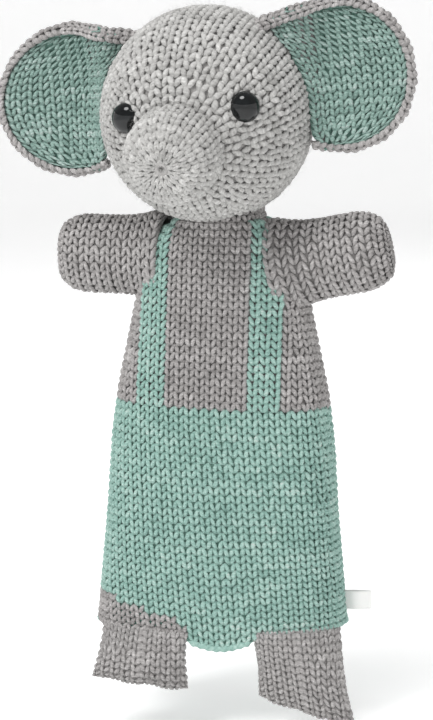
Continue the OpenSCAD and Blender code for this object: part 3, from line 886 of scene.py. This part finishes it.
def add_stage():
    """A plain pale floor that sweeps up into a round backdrop: a profile of a flat disc and a
    quarter circle, turned about the middle."""
    low = min(box(n)[0][2] for n in ("left_foot_cover", "right_foot_cover")) - 3 * MM
    flat, curve, top, sides = 2.4, 0.8, 1.3, 96
    sweep = np.linspace(0, math.pi / 2, 13)
    radius = np.concatenate([[1 * MM], flat + curve * np.sin(sweep), [flat + curve]])
    z = np.concatenate([[low], low + curve * (1 - np.cos(sweep)), [top]])
    turn = np.arange(sides) * 2 * math.pi / sides
    points = np.stack([radius[:, None] * np.cos(turn), radius[:, None] * np.sin(turn),
                       z[:, None] + 0 * turn], -1).reshape(-1, 3)
    paper = Nodes("pale_paper").finish((0.94, 0.94, 0.94, 1), Roughness=0.9,
                                       Emission_Color=(1, 1, 1, 1), Emission_Strength=0.34)
    centre = np.arange(sides)[None, :]
    floor = make_mesh("floor", points, [cells(len(z), sides, True, flip=True), centre], paper)


add_camera()
add_stage()
add_light("key_light", (-0.6, -1.1, 1.35), 0.7, 14, glossy=False)
add_light("fill_light", (1.3, -1.1, 0.4), 1.1, 3.5, glossy=False)
add_light("top_light", (-0.1, -0.45, 1.5), 0.6, 8)
add_light("back_light", (0.3, 1.3, 0.9), 1.0, 6, glossy=False)
world = bpy.data.worlds.new("studio")
world.use_nodes = True
sky = world.node_tree.nodes["Background"].inputs
sky["Color"].default_value = (1, 1, 1, 1)
sky["Strength"].default_value = 0.3
bpy.context.scene.world = world
bpy.context.scene.view_settings.view_transform = "Standard"


# ---------------------------------------------------------------- making the body

def inside_body(p, scale=1.0):
    """Whether points lie within the body's outline, drawn in by scale."""
    half, depth = curve_through(p[:, 2], BODY_HALF), curve_through(p[:, 2], BODY_DEPTH)
    share = np.abs(p[:, 0] / (half * scale)) ** SQUARENESS + np.abs(
        p[:, 1] / (depth * scale)) ** SQUARENESS
    return (share < 1) & (p[:, 2] < BODY_TOP)


ARMS = [Arm(side) for side in (1, -1)]


def inside_arms(p, scale=1.0):
    """Whether points lie within either arm's root, drawn in by scale."""
    inside = np.zeros(len(p), bool)
    for arm in ARMS:
        local = p - arm.shoulder
        x, up = local @ arm.out, local @ arm.up
        across = (up / (ARM_HALF * scale)) ** 2 + (local[:, 1] / (ARM_DEPTH * scale)) ** 2
        inside |= (across < 1) & (x > -7 * MM)
    return inside


def foot_line(p):
    """Height at which the front changes from mint to the right foot's grey: a slanted line that
    rises towards the right side seam, and none on the left."""
    across = -p @ HEM_AXIS
    return np.where(across > 13 * MM, 4.5 * MM + 0.26 * (across - 14 * MM), -1.0)


def make_body():
    """Trousers, shirt and braces, front and back."""
    waist = WAIST_Z + 0.5 * MM
    for face, front, way in HALVES:
        surface = body_surface(front)
        hand = outward(surface, way)
        laid = lay_rows(surface, row=3.3 * MM)
        at = surface(laid["u"], laid["v"])
        tone = yarn_tone(laid)
        free = ~inside_arms(at, 0.7)
        low = at[:, 2] < waist
        foot = front & (at[:, 2] < foot_line(at))
        brace = ~low & (np.abs(np.abs(laid["col"]) - 6) <= 1) & (laid["edge"] == 0)
        parts = [("trousers", "mint", low & ~foot), ("braces", "mint", brace),
                 ("shirt", "grey", ~low & ~brace)]
        if front:
            parts.append(("ankle", "grey", foot))
        for part, colour, mask in parts:
            lift = 0.5 * MM if part == "braces" else 0.0
            piece = knit(f"{face}_{part}_stitches", surface, hand, laid, YARNS[colour], tone,
                         keep=mask & free, height=lift)
            wear(piece, "torso")
        for part, colour, test in (
                ("trousers", "mint", lambda p: p[:, 2] < waist + 2 * MM),
                ("shirt", "grey",
                 lambda p: (p[:, 2] > waist - 2 * MM) & ~inside_arms(p, 0.66))):
            skin = shell(f"{face}_{part}_fabric", surface, hand, SHADED_SKINS[colour],
                         shape=(72, 110), keep=test, lumps=0.25 * MM)
            wear(skin, "torso")
            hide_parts(f"{face}_{part}")


def make_arm(arm):
    """One arm: a shoulder piece by the body, and a hand beyond it."""
    split = 11 * MM
    shoulder = arm.shoulder - 7 * MM * arm.out, arm.shoulder + 7 * MM * arm.out
    wrist = arm.bend + 5 * MM * arm.out, arm.bend - 5 * MM * arm.out
    arm_body, hand_body = arm.name + "_arm", arm.name + "_hand"
    # Each part: its name, its CAD node, its bodies and the two ends of the span between them.
    parts = (("shoulder", "_sleeve", "torso", arm_body, shoulder),
             ("hand", "_hand", hand_body, arm_body, wrist))
    for face, front, way in HALVES:
        surface = arm.surface(front)
        hand = outward(surface, way)
        laid = lay_rows(surface, wale=4.8 * MM, row=3.6 * MM)
        at = surface(laid["u"], laid["v"])
        tone = yarn_tone(laid)
        reach = (at - arm.shoulder) @ arm.out
        free = ~inside_body(at, 0.86)
        for part, node, a, b, ends in parts:
            near = part == "shoulder"
            mask = reach < split if near else reach >= split
            piece = knit(f"{arm.name}_{part}_{face}_stitches", surface, hand, laid,
                         YARNS["grey"], tone, keep=mask & free)

            def test(p, near=near):
                run = (p - arm.shoulder) @ arm.out
                return run < split if near else run > split - 1.6 * MM
            skin = shell(f"{arm.name}_{part}_{face}_fabric", surface, hand, SHADED_SKINS["grey"],
                         shape=(64, 40), keep=test)
            bend(piece, "grey", a, b, *ends)
            bend(skin, "grey", a, b, *ends)
            if front:
                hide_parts(arm.name + node)


# ---------------------------------------------------------------- making the head

NECK_CLEAR = 18.8 * MM


def clear_of_neck(p, reach=NECK_CLEAR):
    """Whether points lie outside the ball in which the neck turns."""
    return np.linalg.norm(p - NECK, axis=-1) > reach


def make_head():
    """Ball and trunk, knitted round the trunk's axis."""
    laid = lay_rows(head_surface, row=3.75 * MM, counts=head_count)
    at = head_surface(laid["u"], laid["v"])
    tone = yarn_tone(laid, level=0.55, streak=0.1, speck=0.07)
    free = clear_of_neck(at, NECK_CLEAR + 0.8 * MM)
    nose = laid["v"] * PROFILE_RUN[-1] < 36 * MM
    for part, mask in (("trunk", nose), ("head", ~nose)):
        piece = knit(f"{part}_stitches", head_surface, 1, laid, YARNS["pale"], tone,
                     yarn=1.3 * MM, keep=mask & free, wild=1.4)
        wear(piece, "head")
    loose = fuzz("head_fuzz", head_surface, 1, YARNS["pale"], 3200,
                 lambda p: clear_of_neck(p, NECK_CLEAR + 4 * MM))
    wear(loose, "head")
    skin = shell("head_fabric", head_surface, 1, SHADED_SKINS["pale"], shape=(120, 110), around=True,
                 keep=clear_of_neck)
    wear(skin, "head")
    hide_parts("head_cover", "head_stuffing")


def make_eye(side):
    """A glossy dome: a cap of a sphere over a short straight rim, closed underneath."""
    name, sides = SIDE_NAMES[side], 64
    spread, rise = math.radians(35) * side, math.radians(4)
    axis = (math.sin(spread) * math.cos(rise) * HEAD_X - math.cos(spread) * math.cos(rise)
            * HEAD_Y + math.sin(rise) * HEAD_Z)
    one = unit(np.cross(HEAD_Z, axis))
    two = np.cross(axis, one)
    radius, tall, rim = 6.3 * MM, 5.4 * MM, 0.7 * MM
    ball = (radius ** 2 + (tall - rim) ** 2) / (2 * (tall - rim))
    a = np.linspace(0, math.asin(min(1, radius / ball)), 25)[1:]
    profile_r = np.concatenate([ball * np.sin(a), [radius, radius * 0.9]])
    profile_h = np.concatenate([tall - ball * (1 - np.cos(a)), [0.2 * rim, 0]])
    turn = np.arange(sides) * 2 * math.pi / sides
    base = HEAD + (HEAD_R + 0.1 * MM) * axis
    points = (base + profile_h[:, None, None] * axis
              + profile_r[:, None, None] * (np.cos(turn)[None, :, None] * one
                                            + np.sin(turn)[None, :, None] * two))
    count = len(profile_r) * sides
    points = np.concatenate([points.reshape(-1, 3), [base + tall * axis, base]])
    k = np.arange(sides)
    caps = np.concatenate([fan(count, k), fan(count + 1, k + count - sides, flip=True)])
    quads = cells(len(profile_r), sides, True)[:, ::-1]
    dome = make_mesh(name + "_eye_dome", points, [quads, caps], EYE_FINISH)
    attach(dome, "head")
    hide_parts(name + "_eye")


def make_ear(side):
    """Grey back, mint lining and the grey border that rolls over the rim."""
    ear = Ear(side)
    joint = JOINT[ear.name + "_ear_flap"]
    start, end = joint - 3 * MM * ear.out, joint + 8 * MM * ear.out
    pieces = []
    for part, front, colour in (("lining", True, "lining"), ("back", False, "grey")):
        surface = ear.surface(front)
        hand = outward(surface, -HEAD_Y if front else HEAD_Y)

        def columns_from(v, surface=surface):
            ends = [(surface(np.array([k]), np.array([v])) - HEAD) @ ear.out / MM
                    for k in (0.0, 1.0)]
            return float(np.clip((64 - ends[0][0]) / max(ends[1][0] - ends[0][0], 1), 0.1, 0.9))
        laid = lay_rows(surface, wale=4.5 * MM, row=3.3 * MM, origin=columns_from)
        tone = yarn_tone(laid)
        pieces.append((knit(f"{ear.name}_ear_{part}_stitches", surface, hand, laid,
                            YARNS[colour], tone), colour))
        skin = shell(f"{ear.name}_ear_{part}_fabric", surface, hand, SHADED_SKINS[colour],
                     wall=0.9 * MM, shape=(60, 64))
        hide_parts(f"{ear.name}_ear_{part}")
        pieces.append((skin, colour))
    hand = outward(ear.rim, ear.out)
    laid = lay_rows(ear.rim, wale=3.6 * MM, row=3.4 * MM, edges=False)
    pieces.append((knit(ear.name + "_ear_border_stitches", ear.rim, hand, laid, YARNS["grey"],
                        yarn_tone(laid, level=0.56), height=0.3 * MM), "grey"))
    pieces.append((shell(ear.name + "_ear_border_fabric", ear.rim, hand, SHADED_SKINS["grey"],
                         wall=0.8 * MM, shape=(14, 160)), "grey"))
    for piece, colour in pieces:
        bend(piece, colour, "head", ear.name + "_ear", start, end)


def neck_surface(u, v):
    """The neck's band as a zone of a ball about the neck's centre, so that it stays in place
    under the head as it turns: u goes round, v from its lower to its upper rim."""
    a, e = 2 * math.pi * u, np.radians(-27 + 58 * v)
    r = 18.2 * MM
    return NECK + np.stack([r * np.cos(e) * np.cos(a), r * np.cos(e) * np.sin(a),
                            r * np.sin(e)], -1)


def make_neck():
    """The knitted band and the fabric under it."""
    laid = lay_rows(neck_surface, row=3.3 * MM, counts=lambda v: 24)
    hand = outward(neck_surface, (-1, 0, 0))
    piece = knit("neck_stitches", neck_surface, hand, laid, YARNS["grey"], yarn_tone(laid),
                 height=-0.6 * MM)
    wear(piece, "neck")
    skin = shell("neck_fabric", neck_surface, hand, SHADED_SKINS["grey"], wall=1.2 * MM,
                 lift=-1.6 * MM, shape=(64, 14), around=True)
    wear(skin, "neck")
    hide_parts("neck_band")


# ---------------------------------------------------------------- making the feet and trims

def make_foot(side):
    """A stitched front and back over a padded bag. Their tops follow the hem's curve."""
    foot = Foot(side)
    hang = ("grey", "torso", foot.name + "_foot", foot.middle + [0, 0, 2 * MM],
            foot.middle - [0, 0, 9 * MM])
    for face, front, way in HALVES:
        surface = foot.surface(front)
        hand = outward(surface, way)
        laid = lay_rows(surface, wale=4.2 * MM, row=3.0 * MM)
        piece = knit(f"{foot.name}_foot_{face}_stitches", surface, hand, laid, YARNS["grey"],
                     yarn_tone(laid, level=0.54), height=-0.3 * MM)
        bend(piece, *hang)
    # The pad takes the grey skin's colour, darkened as painted shade.
    pad = pillow(foot.name + "_foot_pad", foot.surface(True), foot.surface(False),
                 SHADED_SKINS["grey"])
    bend(pad, *hang)
    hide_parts(foot.name + "_foot_cover", foot.name + "_foot_stuffing")


def make_hem():
    """Cast-on yarn along the hem: across the front between the feet, and all along the back."""
    for name, front, span in (("front", True, (0.36, 0.64)), ("back", False, (-0.02, 1.02))):
        u = np.linspace(*span, 160)
        path = body_surface(front)(u, np.zeros(160)) + [0, 0, 0.3 * MM]
        rope = tube(name + "_hem_yarn", path, 1.35 * MM, YARNS["mint"], twist=150.0, ply=0.16)
        wear(rope, "torso")


def make_label():
    """Blank ribbon folded in two: its path runs out from the seam, round a fold and back."""
    low, high = box("side_label")
    angle = math.atan2(high[1] + low[1], high[0] + low[0])
    start = HEM_HALF - 1.5 * MM
    out = 2 * (np.linalg.norm((low + high)[:2]) / 2 - HEM_HALF) + 1.5 * MM
    t = np.linspace(0, 1, 40)
    fold = 1.0 * MM
    first = np.stack([start + (out - fold) * t,
                      -fold * (0.4 + 1.2 * np.sin(math.pi * t) ** 2)], -1)
    turn = np.linspace(-math.pi / 2, math.pi / 2, 16)[1:-1]
    bend = np.stack([start + out - fold + fold * np.cos(turn), 0.4 * fold * np.sin(turn)], -1)
    second = np.stack([first[::-1, 0], fold * (0.4 + 0.5 * np.sin(math.pi * t) ** 2)], -1)
    path = np.concatenate([first, bend, second])
    half = 0.2 * MM
    along = unit(np.gradient(path, axis=0))
    normal = np.stack([along[:, 1], -along[:, 0]], -1)
    z = np.linspace(low[2], high[2], 9)
    outer, inner = path + half * normal, path - half * normal
    flare = 0.35 * MM * np.sin(np.linspace(0, math.pi, len(path)))[None] * (
        (z - z.mean()) / (z[-1] - z[0]))[:, None]

    def layer(line):
        x, y = line[None, :, 0] + 0 * flare, line[None, :, 1] - flare
        return spun(x, y, z[:, None], angle).reshape(-1, 3)
    count = 9 * len(path)
    front = cells(9, len(path))
    points = np.concatenate([layer(outer), layer(inner)])
    ribbon = make_mesh("side_label_ribbon", points,
                       [np.concatenate([front, front[:, ::-1] + count, rims(front, count)])],
                       RIBBON)
    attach(ribbon, "torso")
    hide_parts("side_label")


EYE_FINISH = plastic_material("black_gloss", "0c0e0f", 0.07)
WASHER_FINISH = plastic_material("white_moulded", "e9ebe8", 0.45)
RIBBON = ribbon_material()

make_body()
for each in ARMS:
    make_arm(each)
make_head()
for each in (1, -1):
    make_eye(each)
    make_ear(each)
    make_foot(each)
make_neck()
make_hem()
make_label()

# Pieces that stay as they are get their finish
# The side seams, the finger tube and the trunk's gathering yarn take the skins' colours, darkened as painted
# shade.
KEPT = {
    "neck_tie_yarn": YARNS["grey"], "trunk_gathering_yarn": SHADED_SKINS["pale"],
    "finger_tube": SHADED_SKINS["grey"], "left_side_seam": SHADED_SKINS["mint"],
    "right_side_seam": SHADED_SKINS["mint"], "left_eye_washer": WASHER_FINISH,
    "right_eye_washer": WASHER_FINISH,
}
for node, finish in KEPT.items():
    frame["nodes"][node].data.materials.clear()
    frame["nodes"][node].data.materials.append(finish)


def plain(bounds):
    """A box as a pair of plain lists."""
    return [[float(x) for x in corner] for corner in bounds]
